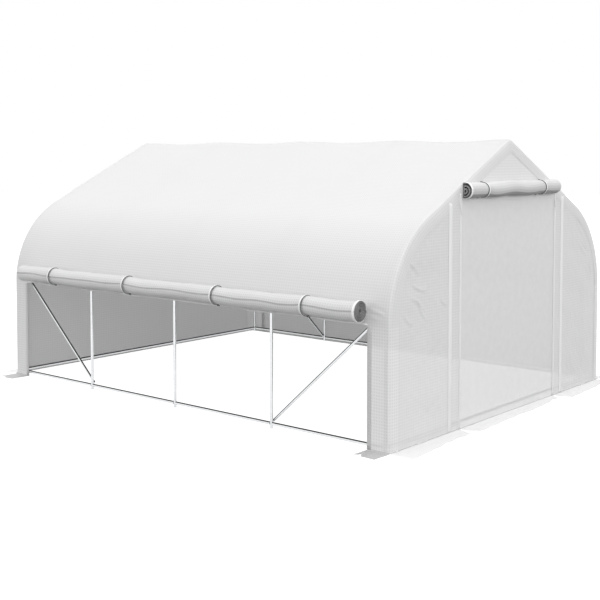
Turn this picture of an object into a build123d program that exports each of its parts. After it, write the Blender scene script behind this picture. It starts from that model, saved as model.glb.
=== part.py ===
from build123d import *
import math
import os

# Walk-in polytunnel greenhouse: hoops and rails of round steel tube under a woven polythene cover.
# X runs across the tunnel, Y runs from the door end to the rear end, Z is up from the ground.
# The origin is on the ground at the middle of the plan. Lengths are millimetres, angles degrees.

# Whole tunnel, measured over the cover
tunnel_width = 3000.0
tunnel_length = 3940.0
ridge_height = 2000.0
roof_pitch = 26.0
eave_radius = 750.0

# Steel frame
tube_diameter = 22.0
brace_diameter = 19.0
bay_count = 4
end_overhang = 45.0
ridge_bend_radius = 60.0
ridge_elbow_reach = 120.0
side_rail_rise = 100.0
base_rail_height = 35.0
brace_foot_height = 50.0
brace_head_rise = 15.0

# Cover, drawn thicker than the real film so that every sheet is a solid
cover_thickness = 3.0
fit_gap = 0.3
eave_segment_count = 12
strip_width = 180.0
curtain_lap = 45.0
skirt_depth = 150.0
skirt_slit = 6.0

# Door in the front gable
door_width = 1370.0
door_head_drop = 440.0
zip_width = 28.0
seam_width = 40.0
seam_outset = 125.0
door_roll_diameter = 114.0
door_roll_seat = 18.0
door_roll_rise = 79.0
door_roll_end_gap = 20.0
door_strap_span = 840.0

# Curtain rolled up on the left side
side_roll_diameter = 134.0
side_roll_rise = 93.0
side_roll_end_gap = 10.0
side_strap_places = [-1335.0, -510.0, 430.0, 1340.0]

# Straps that tie the rolls
strap_width = 20.0
strap_thickness = 3.0
side_strap_mouth = 70.0

# Places worked out from the sizes above
half_width = tunnel_width / 2
half_length = tunnel_length / 2
tube_radius = tube_diameter / 2
brace_radius = brace_diameter / 2
eave_centre_x = half_width - eave_radius
eave_top_angle = 90 - roof_pitch
pitch_cosine = math.cos(math.radians(roof_pitch))
pitch_tangent = math.tan(math.radians(roof_pitch))
spring_height = ridge_height - eave_centre_x * pitch_tangent - eave_radius / pitch_cosine
door_head_height = ridge_height - door_head_drop
door_roll_height = door_head_height + door_roll_rise
side_rail_height = spring_height + side_rail_rise
side_roll_height = spring_height + side_roll_rise
frame_inset = cover_thickness + fit_gap + tube_radius
post_x = half_width - frame_inset
end_hoop_y = half_length - end_overhang
bay_length = 2 * end_hoop_y / bay_count
hoop_places = [-end_hoop_y + bay_length * step for step in range(bay_count + 1)]
strip_edge_y = half_length - strip_width
sides = {"left": -1, "right": 1}
ends = {"front": -1, "rear": 1}


def block(x_span, y_span, z_span):
    """A box between two places on each axis, given in either order."""
    spans = [sorted(span) for span in (x_span, y_span, z_span)]
    centre = [(low + high) / 2 for low, high in spans]
    size = [high - low for low, high in spans]
    return Pos(*centre) * Box(*size)


def bar(start, end, diameter):
    """A straight round bar from one point to another."""
    run = Vector(*end) - Vector(*start)
    return Solid.make_cylinder(diameter / 2, run.length, Plane(origin=start, z_dir=run))


def roof_height(inset, x):
    """Height of the straight roof slope at x, for a line this far inside the cover's outer face."""
    return ridge_height - inset / pitch_cosine - abs(x) * pitch_tangent


def eave_point(inset, angle, y, side):
    """A point on the eave's arc, at an angle up from the horizontal."""
    radius = eave_radius - inset
    x = eave_centre_x + radius * math.cos(math.radians(angle))
    z = spring_height + radius * math.sin(math.radians(angle))
    return (side * x, y, z)


def eave_x(inset, height):
    """Distance from the middle plane to the eave's arc, or to the wall below it, at a height."""
    rise = max(height - spring_height, 0)
    return eave_centre_x + math.sqrt((eave_radius - inset) ** 2 - rise ** 2)


def eave_arc(inset, y, side, start=0, stop=eave_top_angle):
    """The eave's arc, by default from the top of the wall to the start of the straight slope."""
    angles = (start, (start + stop) / 2, stop)
    return ThreePointArc(*[eave_point(inset, angle, y, side) for angle in angles])


def slab(outline, run):
    """A solid made by pushing a flat closed outline along a vector."""
    direction = Vector(*run)
    return extrude(make_face(Wire(outline)), amount=direction.length, dir=direction)


def chain(points):
    """Straight edges that join points in order."""
    return [Line(start, end) for start, end in zip(points, points[1:])]


def save(name, *solids):
    """Write one node, which may hold several solids that do not touch."""
    shape = solids[0] if len(solids) == 1 else Compound(list(solids))
    export_step(shape, f"parts/{name}.step")


def make_posts(y):
    """The two upright legs of one hoop, from the ground to where the bend starts."""
    return [bar((side * post_x, y, 0), (side * post_x, y, spring_height), tube_diameter)
            for side in sides.values()]


def ridge_axis_height():
    """Height of the hoop's centre line at the rounded top of its ridge elbow."""
    bend_rise = ridge_bend_radius * (1 / pitch_cosine - 1)
    return roof_height(frame_inset, 0) - bend_rise


def slope_point(reach, y, side):
    """A point on the rafter's centre line, this far down the slope from the ridge."""
    x = reach * pitch_cosine
    return (side * x, y, roof_height(frame_inset, x))


def make_rafter(y, side):
    """One bent tube of a hoop, from the top of its post up to the ridge elbow."""
    bend = eave_arc(frame_inset, y, side)
    slope = Line(bend @ 1, slope_point(ridge_elbow_reach, y, side))
    path = Wire([bend, slope])
    section = Plane(origin=path @ 0, z_dir=path % 0) * Circle(tube_radius)
    return sweep(section, path=path)


def make_ridge_elbow(y):
    """The bent piece at the top of one hoop that the two rafters meet."""
    reach = ridge_elbow_reach - fit_gap
    bend_reach = ridge_bend_radius * pitch_tangent
    bend = ThreePointArc(slope_point(bend_reach, y, -1), (0, y, ridge_axis_height()),
                         slope_point(bend_reach, y, 1))
    path = Wire([Line(slope_point(reach, y, -1), bend @ 0), bend,
                 Line(bend @ 1, slope_point(reach, y, 1))])
    section = Plane(origin=path @ 0, z_dir=path % 0) * Circle(tube_radius)
    return sweep(section, path=path)


def make_long_rail(x, height):
    """A rail along the tunnel, one length of tube in each bay, butted between the hoops."""
    end_gap = tube_radius + fit_gap
    return [bar((x, start + end_gap, height), (x, end - end_gap, height), tube_diameter)
            for start, end in zip(hoop_places, hoop_places[1:])]


def make_ridge_rail():
    """The rail along the ridge, in one length, carried under the bends of the ridge elbows."""
    height = ridge_axis_height() - tube_diameter - fit_gap
    reach = end_hoop_y + tube_radius
    return bar((0, -reach, height), (0, reach, height), tube_diameter)


def make_cross_rail(y):
    """A rail across one end of the tunnel at the ground, between the corner posts."""
    reach = post_x - tube_radius - fit_gap
    return bar((-reach, y, base_rail_height), (reach, y, base_rail_height), tube_diameter)


def make_brace(side, end):
    """A diagonal in a corner bay, from the second post's foot up to the corner post's head."""
    inset = frame_inset + tube_radius + fit_gap + brace_radius
    head_height = side_rail_height + brace_head_rise
    foot = (side * (half_width - inset), end * (end_hoop_y - bay_length), brace_foot_height)
    head = (side * eave_x(inset, head_height), end * end_hoop_y, head_height)
    return bar(foot, head, brace_diameter)


def make_roof_slope(side):
    """The flat sheet of cover on one side of the ridge."""
    top = fit_gap / 2
    outer_foot = eave_point(0, eave_top_angle, -half_length, side)
    inner_foot = eave_point(cover_thickness, eave_top_angle, -half_length, side)
    outer_top = (side * top, -half_length, roof_height(0, top))
    inner_top = (side * top, -half_length, roof_height(cover_thickness, top))
    outline = chain([outer_foot, outer_top, inner_top, inner_foot, outer_foot])
    return slab(outline, (0, tunnel_length, 0))


def make_eave_curve(side):
    """The rounded cover over one eave, from the slope down to its hem, as strips side by side."""
    step_angle = eave_top_angle / eave_segment_count
    gap_angle = math.degrees(fit_gap / eave_radius)
    strips = []
    for step in range(eave_segment_count):
        span = (step * step_angle, (step + 1) * step_angle - gap_angle)
        outer = eave_arc(0, -half_length, side, *span)
        inner = eave_arc(cover_thickness, -half_length, side, *span)
        outline = [outer, Line(outer @ 1, inner @ 1), inner, Line(inner @ 0, outer @ 0)]
        strips.append(slab(outline, (0, tunnel_length, 0)))
    return strips


def make_corner_strip(side, end):
    """The narrow strip of cover that stays down at one corner of a long side."""
    wall = (side * half_width, side * (half_width - cover_thickness))
    return block(wall, (end * strip_edge_y, end * half_length), (0, spring_height - fit_gap))


def make_side_curtain():
    """The closed curtain of the right side, lapped over the corner strips and the eave's hem."""
    inner = half_width + fit_gap
    reach = strip_edge_y + curtain_lap
    return block((inner, inner + cover_thickness), (-reach, reach), (0, spring_height + curtain_lap))


def gable_start(end):
    """Y of a gable sheet's outer face and the way through it into the tunnel."""
    return end * half_length, (0, -end * cover_thickness, 0)


def make_gable_side(side):
    """The fixed sheet of the front gable on one side of the door."""
    inset = cover_thickness + fit_gap
    y, through = gable_start(ends["front"])
    edge_x = door_width / 2 + fit_gap / 2
    arc = eave_arc(inset, y, side)
    top = (side * edge_x, y, roof_height(inset, edge_x))
    foot = (side * edge_x, y, 0)
    corner = (side * (half_width - inset), y, 0)
    outline = [arc] + chain([arc @ 1, top, foot, corner, arc @ 0])
    return slab(outline, through)


def make_gable_top():
    """The sheet of the front gable above the door."""
    inset = cover_thickness + fit_gap
    y, through = gable_start(ends["front"])
    edge_x = door_width / 2 - fit_gap / 2
    corners = [(-edge_x, y, door_head_height), (edge_x, y, door_head_height),
               (edge_x, y, roof_height(inset, edge_x)), (0, y, roof_height(inset, 0)),
               (-edge_x, y, roof_height(inset, edge_x)), (-edge_x, y, door_head_height)]
    return slab(chain(corners), through)


def make_door_screen():
    """The sheet that closes the doorway while the door is rolled up."""
    edge_x = door_width / 2 - fit_gap / 2
    skin = (-half_length, -half_length + cover_thickness)
    return block((-edge_x, edge_x), skin, (0, door_head_height - fit_gap))


def make_rear_gable():
    """The plain sheet that closes the rear end."""
    inset = cover_thickness + fit_gap
    y, through = gable_start(ends["rear"])
    left = eave_arc(inset, y, -1)
    right = eave_arc(inset, y, 1)
    ridge = (0, y, roof_height(inset, 0))
    wall_x = half_width - inset
    roof_line = chain([left @ 1, ridge, right @ 1])
    walls = chain([right @ 0, (wall_x, y, 0), (-wall_x, y, 0), left @ 0])
    return slab([left] + roof_line + [right] + walls, through)


def make_door_zips():
    """The zips at the door's edges and the sewn seams outside them, each from ground to roof."""
    outer = -half_length - fit_gap - cover_thickness
    strips = []
    for side in sides.values():
        for centre, width in ((door_width / 2, zip_width), (door_width / 2 + seam_outset, seam_width)):
            top = roof_height(cover_thickness + fit_gap, centre + width / 2)
            x_span = (side * (centre - width / 2), side * (centre + width / 2))
            strips.append(block(x_span, (outer, -half_length - fit_gap), (0, top)))
    return strips


def side_roll_x():
    """Distance of the side roll's axis from the middle plane, lying against the eave's curve."""
    reach = eave_radius + fit_gap + side_roll_diameter / 2
    return eave_centre_x + math.sqrt(reach ** 2 - side_roll_rise ** 2)


def door_roll_y():
    """Distance of the door roll's axis from the middle of the tunnel, its flat lying on the gable."""
    return half_length + fit_gap + door_roll_seat


def make_side_roll():
    """The left side's curtain, rolled up under the eave between the corner strips."""
    reach = strip_edge_y - side_roll_end_gap
    x = -side_roll_x()
    return bar((x, -reach, side_roll_height), (x, reach, side_roll_height), side_roll_diameter)


def make_door_roll():
    """The door, rolled up between the zips and pressed flat where it lies against the gable."""
    reach = door_width / 2 - door_roll_end_gap
    radius = door_roll_diameter / 2
    flat_rise = math.sqrt(radius ** 2 - door_roll_seat ** 2)
    y = -door_roll_y()
    top = (-reach, y + door_roll_seat, door_roll_height + flat_rise)
    front = (-reach, y - radius, door_roll_height)
    foot = (-reach, y + door_roll_seat, door_roll_height - flat_rise)
    return slab([ThreePointArc(top, front, foot), Line(foot, top)], (2 * reach, 0, 0))


def strap_band(roll_diameter, mouth_angle):
    """A flat loop around a roll at the origin along Z, with its mouth towards positive X."""
    inner = roll_diameter / 2 + fit_gap
    outer = inner + strap_thickness
    start = mouth_angle / 2
    sweep_angle = 360 - mouth_angle
    ends_at = (math.radians(start), math.radians(start + sweep_angle))
    rims = [CenterArc((0, 0, 0), radius, start, sweep_angle) for radius in (inner, outer)]
    caps = [Line(*[(radius * math.cos(angle), radius * math.sin(angle), 0) for radius in (inner, outer)])
            for angle in ends_at]
    band = slab([rims[0], caps[1], rims[1], caps[0]], (0, 0, strap_width))
    return Pos(0, 0, -strap_width / 2) * band


def make_side_straps():
    """The loops that hold the side roll up."""
    band = Rot(90, 0, 0) * strap_band(side_roll_diameter, side_strap_mouth)
    return [Pos(-side_roll_x(), place, side_roll_height) * band for place in side_strap_places]


def make_door_straps():
    """The loops that hold the door roll up, open where the roll lies flat."""
    outer = door_roll_diameter / 2 + fit_gap + strap_thickness
    mouth = 2 * math.degrees(math.acos(door_roll_seat / outer))
    band = Rot(0, 90, 0) * Rot(0, 0, 90) * strap_band(door_roll_diameter, mouth)
    return [Pos(side * door_strap_span / 2, -door_roll_y(), door_roll_height) * band
            for side in sides.values()]


def make_end_skirt(end, inner, slits):
    """The flap of cover laid flat on the ground along one end, parted at the given places."""
    y_span = (end * inner, end * (half_length + skirt_depth))
    inset = skirt_slit / 2
    starts = [-half_width] + [slit + inset for slit in slits]
    stops = [slit - inset for slit in slits] + [half_width]
    return [block(x_span, y_span, (0, cover_thickness)) for x_span in zip(starts, stops)]


def make_front_skirt():
    """The door end's skirt, parted below the zips and laid just outside their feet."""
    zip_face = half_length + fit_gap + cover_thickness
    return make_end_skirt(ends["front"], zip_face + fit_gap, [-door_width / 2, door_width / 2])


def make_rear_skirt():
    """The rear end's skirt, in one piece."""
    return make_end_skirt(ends["rear"], half_length + fit_gap, [])


def make_strip_skirts():
    """The short flaps laid on the ground below the left side's corner strips."""
    x_span = (-half_width - fit_gap, -half_width - skirt_depth)
    return [block(x_span, (end * strip_edge_y, end * half_length), (0, cover_thickness))
            for end in ends.values()]


def make_right_skirt():
    """The flap laid on the ground along the closed right side."""
    inner = half_width + fit_gap + cover_thickness + fit_gap
    return block((inner, half_width + skirt_depth), (-half_length, half_length), (0, cover_thickness))


os.makedirs("parts", exist_ok=True)

for number, place in enumerate(hoop_places, 1):
    save(f"hoop_{number}_posts", *make_posts(place))
    save(f"hoop_{number}_rafters", *[make_rafter(place, side) for side in sides.values()])
save("ridge_elbows", *[make_ridge_elbow(place) for place in hoop_places])
save("ridge_rail", make_ridge_rail())

for word, side in sides.items():
    rail_x = side * eave_x(frame_inset, side_rail_height)
    save(f"{word}_side_rail", *make_long_rail(rail_x, side_rail_height))
    save(f"{word}_base_rail", *make_long_rail(side * post_x, base_rail_height))
    save(f"{word}_roof_slope", make_roof_slope(side))
    save(f"{word}_eave_curve", *make_eave_curve(side))
    save(f"front_gable_{word}_panel", make_gable_side(side))
    for end_word, end in ends.items():
        save(f"{word}_{end_word}_brace", make_brace(side, end))
        save(f"{word}_{end_word}_strip", make_corner_strip(side, end))

for end_word, end in ends.items():
    save(f"{end_word}_base_rail", make_cross_rail(end * end_hoop_y))

save("front_gable_top_panel", make_gable_top())
save("door_screen", make_door_screen())
save("door_zips", *make_door_zips())
save("door_roll", make_door_roll())
save("door_roll_straps", *make_door_straps())
save("rear_gable_panel", make_rear_gable())
save("right_side_curtain", make_side_curtain())
save("side_curtain_roll", make_side_roll())
save("side_roll_straps", *make_side_straps())
save("front_skirt", *make_front_skirt())
save("rear_skirt", *make_rear_skirt())
save("left_skirts", *make_strip_skirts())
save("right_skirt", make_right_skirt())
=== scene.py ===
import math

import bpy
import numpy as np
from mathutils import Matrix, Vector


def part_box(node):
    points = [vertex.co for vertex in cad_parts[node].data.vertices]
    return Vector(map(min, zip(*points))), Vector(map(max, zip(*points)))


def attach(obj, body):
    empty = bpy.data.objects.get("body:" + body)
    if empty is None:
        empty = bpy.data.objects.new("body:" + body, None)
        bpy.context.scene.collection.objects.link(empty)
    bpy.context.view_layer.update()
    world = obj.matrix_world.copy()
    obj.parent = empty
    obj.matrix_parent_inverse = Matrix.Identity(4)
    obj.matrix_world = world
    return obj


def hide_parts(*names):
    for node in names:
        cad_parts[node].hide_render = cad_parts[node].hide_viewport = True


# Walk-in polytunnel greenhouse: the film cover, door net, zips, straps and rolls dressed around
# the steel frame. Metres, in the frame's own axes: X across, Y from the door end to the rear, Z up.

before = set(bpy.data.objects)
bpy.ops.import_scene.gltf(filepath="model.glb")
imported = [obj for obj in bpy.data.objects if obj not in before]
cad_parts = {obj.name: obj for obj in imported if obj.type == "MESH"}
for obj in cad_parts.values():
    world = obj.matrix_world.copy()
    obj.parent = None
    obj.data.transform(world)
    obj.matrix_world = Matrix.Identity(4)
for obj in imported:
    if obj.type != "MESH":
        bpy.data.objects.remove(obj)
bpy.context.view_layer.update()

MM = 0.001
up = np.array((0.0, 0.0, 1.0))

# Whole tunnel, read from the frame
strip_low, strip_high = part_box("left_front_strip")
half_width = -strip_low.x
half_length = -strip_low.y
strip_edge = -strip_high.y
ridge_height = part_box("left_roof_slope")[1].z
spring_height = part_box("left_eave_curve")[0].z
hoop_count = 5
hoop_places = np.array([sum(corner.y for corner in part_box(f"hoop_{number}_posts")) / 2
                        for number in range(1, hoop_count + 1)])
roof_pitch = math.radians(26)
pitch_sine = math.sin(roof_pitch)
pitch_cosine = math.cos(roof_pitch)
pitch_tangent = math.tan(roof_pitch)
eave_radius = ((ridge_height - spring_height - half_width * pitch_tangent)
               / (1 / pitch_cosine - pitch_tangent))
eave_centre = half_width - eave_radius

# Door, curtain and rolls, read from the frame
door_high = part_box("door_screen")[1]
door_edge = door_high.x
door_head = door_high.z
curtain_low, curtain_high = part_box("right_side_curtain")
side_roll_low, side_roll_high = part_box("side_curtain_roll")
door_roll_low, door_roll_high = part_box("door_roll")
door_strap_low, door_strap_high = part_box("door_roll_straps")
skirt_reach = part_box("right_skirt")[1].x - half_width

# How the film lies: it is one thin layer inside the thicker solid that stands for it
film_lift = 0.8 * MM
ridge_ease = 8 * MM
rim_depth = 18 * MM
rim_fall = 80 * MM
rim_band = 8 * MM
rim_lift = 1.5 * MM
gable_tuck = 82 * MM
grid_step = 20 * MM
fine_step = 8 * MM

# Sewn and tied pieces
zip_width = 26 * MM
zip_thickness = 0.8 * MM
chain_width = 7 * MM
chain_thickness = 2.4 * MM
slider_length = 18 * MM
slider_width = 12 * MM
slider_thickness = 5 * MM
pull_length = 48 * MM
pull_width = 8 * MM
pull_thickness = 2 * MM
seam_width = 46 * MM
seam_thickness = 0.6 * MM
seam_outset = 125 * MM
strap_width = 13 * MM
strap_thickness = 3 * MM
# A dark cord beside each strap is a painted shadow
shadow_cord_width = 8 * MM
shadow_cord_thickness = 4 * MM
side_strap_places = [-1.335, -0.510, 0.430, 1.340]
strip_hem_width = 32 * MM
strip_hem_thickness = 1.2 * MM
eave_hem_width = 12 * MM
eave_hem_thickness = 2.5 * MM
eave_hem_rise = 4 * MM
roll_hem_width = 18 * MM
roll_hem_thickness = 3 * MM
roll_step = 10 * MM
roll_core = 7 * MM
roll_turns = 5.3
roll_end_depth = 5 * MM


def ripple(wavelength, seed, *axes, waves=10):
    """Smooth seeded waves over one or more axes, mostly between -1 and 1."""
    draw = np.random.default_rng(seed)
    total = 0.0
    for _ in range(waves):
        heading = draw.normal(size=len(axes))
        heading /= np.linalg.norm(heading)
        pace = 2 * math.pi / (wavelength * draw.uniform(0.7, 1.6))
        phase = draw.uniform(0, 2 * math.pi)
        total = total + np.sin(sum(pace * part * axis for part, axis in zip(heading, axes)) + phase)
    return total / math.sqrt(waves)


def even_steps(places, step):
    """Places along a line, with steps of about one size that land on each given place."""
    runs = [np.linspace(start, end, max(2, round((end - start) / step) + 1))[:-1]
            for start, end in zip(places, places[1:])]
    return np.concatenate(runs + [[places[-1]]])


def ease(distance, width):
    """0 until a distance begins, then straight up to 1 where it reaches the width."""
    return np.clip(distance / width, 0, 1)


def run_length(points):
    """Distance covered from the first row of points to each later one."""
    steps = np.linalg.norm(np.diff(points, axis=0), axis=-1)
    return np.concatenate([[0], np.cumsum(steps)])


# Shapes: each is a list of points, a list of faces, and each point's place on the flat cut

def film(points, cut, keep=None):
    """A single layer of film over a grid of points, less the cells that are not kept."""
    rows, columns = points.shape[:2]
    index = np.arange(rows * columns).reshape(rows, columns)
    corners = (index[:-1, :-1], index[1:, :-1], index[1:, 1:], index[:-1, 1:])
    faces = np.stack(corners, axis=-1).reshape(-1, 4)
    if keep is not None:
        faces = faces[keep.ravel()]
    used, faces = np.unique(faces, return_inverse=True)
    return points.reshape(-1, 3)[used], faces.reshape(-1, 4).tolist(), cut.reshape(-1, 2)[used]


def ring_faces(rings, count):
    """Faces round a row of rings with that many points each, closed at both ends."""
    faces = [[ring * count + corner, ring * count + (corner + 1) % count,
              (ring + 1) * count + (corner + 1) % count, (ring + 1) * count + corner]
             for ring in range(rings - 1) for corner in range(count)]
    return faces + [list(range(count))[::-1], list(range((rings - 1) * count, rings * count))]


def webbing(path, facing, across, width, thickness):
    """A flat band with rounded selvedges along a path, its face turned the way of facing."""
    path, facing, across = np.array(path), np.array(facing), np.array(across)
    edge = 0.5 - 0.3 * thickness / width
    section = [(-0.5, 0), (-edge, 0.5), (0, 0.5), (edge, 0.5), (0.5, 0), (edge, -0.5), (0, -0.5),
               (-edge, -0.5)]
    rings = [path + across * width * side + facing * thickness * lift for side, lift in section]
    points = np.stack(rings, axis=1).reshape(-1, 3)
    along = np.repeat(run_length(path), len(section))
    aside = np.tile([side * width for side, lift in section], len(path))
    return points, ring_faces(len(path), len(section)), np.stack([along, aside], axis=-1)


def turned(profile, start, axis, steps=20):
    """A round form: distances along an axis, each with its radius, closed at both ends."""
    start, axis = np.array(start), Vector(axis).normalized()
    side = np.array(axis.orthogonal().normalized())
    other = np.cross(axis, side)
    turn = np.linspace(0, 2 * math.pi, steps, endpoint=False)
    ring = np.cos(turn)[:, None] * side + np.sin(turn)[:, None] * other
    points = np.concatenate([start + np.array(axis) * reach + ring * radius
                             for reach, radius in profile])
    reach = np.repeat([reach for reach, radius in profile], steps)
    girth = np.tile(turn, len(profile)) * max(radius for reach, radius in profile)
    return points, ring_faces(len(profile), steps), np.stack([reach, girth], axis=-1)


def make_piece(name, finish, shapes):
    """One piece of the tunnel from its shapes, with its finish, standing on the frame."""
    points, faces, places = [], [], []
    for shape_points, shape_faces, shape_places in shapes:
        first = len(points)
        points.extend(shape_points.tolist())
        places.extend(shape_places.tolist())
        faces.extend([[first + corner for corner in face] for face in shape_faces])
    mesh = bpy.data.meshes.new(name)
    mesh.from_pydata(points, [], faces)
    corners = np.empty(len(mesh.loops), dtype=np.int32)
    mesh.loops.foreach_get("vertex_index", corners)
    flat_map = mesh.uv_layers.new(name="cut")
    flat_map.data.foreach_set("uv", np.array(places, dtype=np.float32)[corners].ravel())
    mesh.materials.append(finish)
    mesh.shade_smooth()
    piece = bpy.data.objects.new(name, mesh)
    bpy.context.collection.objects.link(piece)
    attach(piece, "root")
    return piece


# Finishes

def linear(code):
    """The linear colour of an sRGB hex code."""
    parts = [int(code[place:place + 2], 16) / 255 for place in (1, 3, 5)]
    return [part / 12.92 if part <= 0.04045 else ((part + 0.055) / 1.055) ** 2.4
            for part in parts] + [1.0]


def add_node(tree, kind, settings=None, links=None, stops=(), **traits):
    """One shader node: its traits, its sockets' values and links, and a colour ramp's stops."""
    node = tree.nodes.new("ShaderNode" + kind)
    for trait, value in traits.items():
        setattr(node, trait, value)
    for socket, value in (settings or {}).items():
        node.inputs[socket].default_value = value
    for socket, source in (links or {}).items():
        tree.links.new(source, node.inputs[socket])
    for number, (position, colour) in enumerate(stops):
        ramp = node.color_ramp.elements
        if number >= len(ramp):
            ramp.new(position)
        ramp[number].position = position
        ramp[number].color = linear(colour)
    return node


def start_finish(name):
    """An empty node material with that name, and its tree."""
    finish = bpy.data.materials.new(name)
    finish.use_nodes = True
    finish.node_tree.nodes.clear()
    return finish, finish.node_tree


def wave_scale(pitch):
    """Scale of a band pattern that repeats once in a pitch given in metres."""
    radians_per_metre = 20  # at a scale of 1
    return 2 * math.pi / (radians_per_metre * pitch)


def finish_solid(tree, pattern, tones, relief, surface):
    """The end of an opaque finish, whose pattern gives both its tones and its relief."""
    colour = add_node(tree, "ValToRGB", None, {"Fac": pattern}, tones)
    bump = add_node(tree, "Bump", relief, {"Height": pattern})
    face = add_node(tree, "BsdfPrincipled", surface,
                    {"Base Color": colour.outputs["Color"], "Normal": bump.outputs["Normal"]})
    add_node(tree, "OutputMaterial", None, {"Surface": face.outputs[0]})


def finish_veil(tree, face, glow, glow_share, cover):
    """The end of a thin finish: its face glows with light from behind, and shows what is there."""
    body = add_node(tree, "MixShader", {0: glow_share}, {1: face.outputs[0], 2: glow.outputs[0]})
    clear = add_node(tree, "BsdfTransparent", {"Color": linear("#FFFFFF")})
    skin = add_node(tree, "MixShader", None,
                    {0: cover.outputs[0], 1: clear.outputs[0], 2: body.outputs[0]})
    add_node(tree, "OutputMaterial", None, {"Surface": skin.outputs[0]})


def make_woven_polythene(name, opacity, tones=("#D9D9D9", "#E0E0E0"), painted_shading=()):
    """Woven polythene tape laminated between clear films: milky, with a grid of brighter tapes.

    The milky film scatters daylight through to the inside, so shade on one face shows on the other.
    The laminate is smooth, so it has a broad dull gloss and shows a little of what is behind it.
    """
    finish, tree = start_finish(name)
    # The tapes are about 10 mm apart, finer than the picture shows, so they are drawn at 20 mm.
    tape_pitch = 20 * MM
    cloud_size, cloud_share = 200 * MM, 0.25
    crinkle_size, crinkle_share = 16.667 * MM, 0.35
    glow_share = 0.13
    places = add_node(tree, "UVMap", uv_map="cut")
    tapes = [add_node(tree, "TexWave", {"Scale": wave_scale(tape_pitch)},
                      {"Vector": places.outputs[0]}, wave_type="BANDS", wave_profile="SIN",
                      bands_direction=direction)
             for direction in ("X", "Y")]
    grid = add_node(tree, "Math", None, {0: tapes[0].outputs["Fac"], 1: tapes[1].outputs["Fac"]},
                    operation="MAXIMUM")
    cloud = add_node(tree, "TexNoise", {"Scale": 1 / cloud_size, "Detail": 3.0, "Roughness": 0.5},
                     {"Vector": places.outputs[0]})
    tone = add_node(tree, "Math", {1: cloud_share}, {0: cloud.outputs["Fac"], 2: grid.outputs[0]},
                    operation="MULTIPLY_ADD")
    tint = add_node(tree, "ValToRGB", None, {"Fac": tone.outputs[0]},
                    [(0.25, tones[0]), (1.0, tones[1])])
    colour = tint.outputs["Color"]
    if painted_shading:
        # A roll has more and tighter turns than are drawn, so its inner turns get painted shade to
        # look as deep, and its free edge gets a painted shadow line. The tops and undersides of the
        # rolls are lightened and darkened as painted light and painted shade. The cover gets a
        # painted highlight along the top of its front rim, where it turns over the front hoop.
        from_edge = add_node(tree, "SeparateXYZ", None, {"Vector": places.outputs[0]})
        depth = add_node(tree, "ValToRGB", None, {"Fac": from_edge.outputs["Y"]}, painted_shading)
        colour = add_node(tree, "Mix", {0: 1.0}, {6: colour, 7: depth.outputs["Color"]},
                          data_type="RGBA", blend_type="MULTIPLY").outputs[2]
    crinkle = add_node(tree, "TexNoise", {"Scale": 1 / crinkle_size, "Detail": 2.0},
                       {"Vector": places.outputs[0]})
    relief = add_node(tree, "Math", {1: crinkle_share},
                      {0: crinkle.outputs["Fac"], 2: grid.outputs[0]},
                      operation="MULTIPLY_ADD")
    bump = add_node(tree, "Bump", {"Strength": 0.1, "Distance": 0.5 * MM},
                    {"Height": relief.outputs[0]})
    face = add_node(tree, "BsdfPrincipled",
                    {"Roughness": 0.45, "IOR": 1.5, "Specular IOR Level": 0.2},
                    {"Base Color": colour, "Normal": bump.outputs["Normal"]})
    glow = add_node(tree, "BsdfTranslucent", None,
                    {"Color": colour, "Normal": bump.outputs["Normal"]})
    # The tapes cover a little more than the film between them.
    between, tape_share = opacity - 0.014, 0.02
    cover = add_node(tree, "Math", {1: tape_share, 2: between}, {0: grid.outputs[0]},
                     operation="MULTIPLY_ADD")
    finish_veil(tree, face, glow, glow_share, cover)
    return finish


def make_polyester_net():
    """Knitted polyester net: threads so fine that the doorway reads as one even, hazy white veil.

    The open holes let what is inside show through it as a faint, sharp-edged image.
    """
    finish, tree = start_finish("knitted_polyester_net")
    # The mesh is about 1.5 mm, far finer than the picture shows, so only uneven knitting is drawn.
    knit_patch = 60 * MM
    places = add_node(tree, "UVMap", uv_map="cut")
    knit = add_node(tree, "TexNoise", {"Scale": 1 / knit_patch, "Detail": 4.0, "Roughness": 0.6},
                    {"Vector": places.outputs[0]})
    colour = add_node(tree, "ValToRGB", None, {"Fac": knit.outputs["Fac"]},
                      [(0.3, "#E0E0E0"), (0.7, "#E3E3E3")])
    bump = add_node(tree, "Bump", {"Strength": 0.05, "Distance": 0.3 * MM},
                    {"Height": knit.outputs["Fac"]})
    face = add_node(tree, "BsdfPrincipled",
                    {"Roughness": 0.75, "IOR": 1.55, "Specular IOR Level": 0.25},
                    {"Base Color": colour.outputs["Color"], "Normal": bump.outputs["Normal"]})
    glow = add_node(tree, "BsdfTranslucent", None, {"Color": colour.outputs["Color"]})
    thin_knit, knit_share, glow_share = 0.84, 0.04, 0.11
    cover = add_node(tree, "Math", {1: knit_share, 2: thin_knit}, {0: knit.outputs["Fac"]},
                     operation="MULTIPLY_ADD")
    finish_veil(tree, face, glow, glow_share, cover)
    return finish


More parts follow.
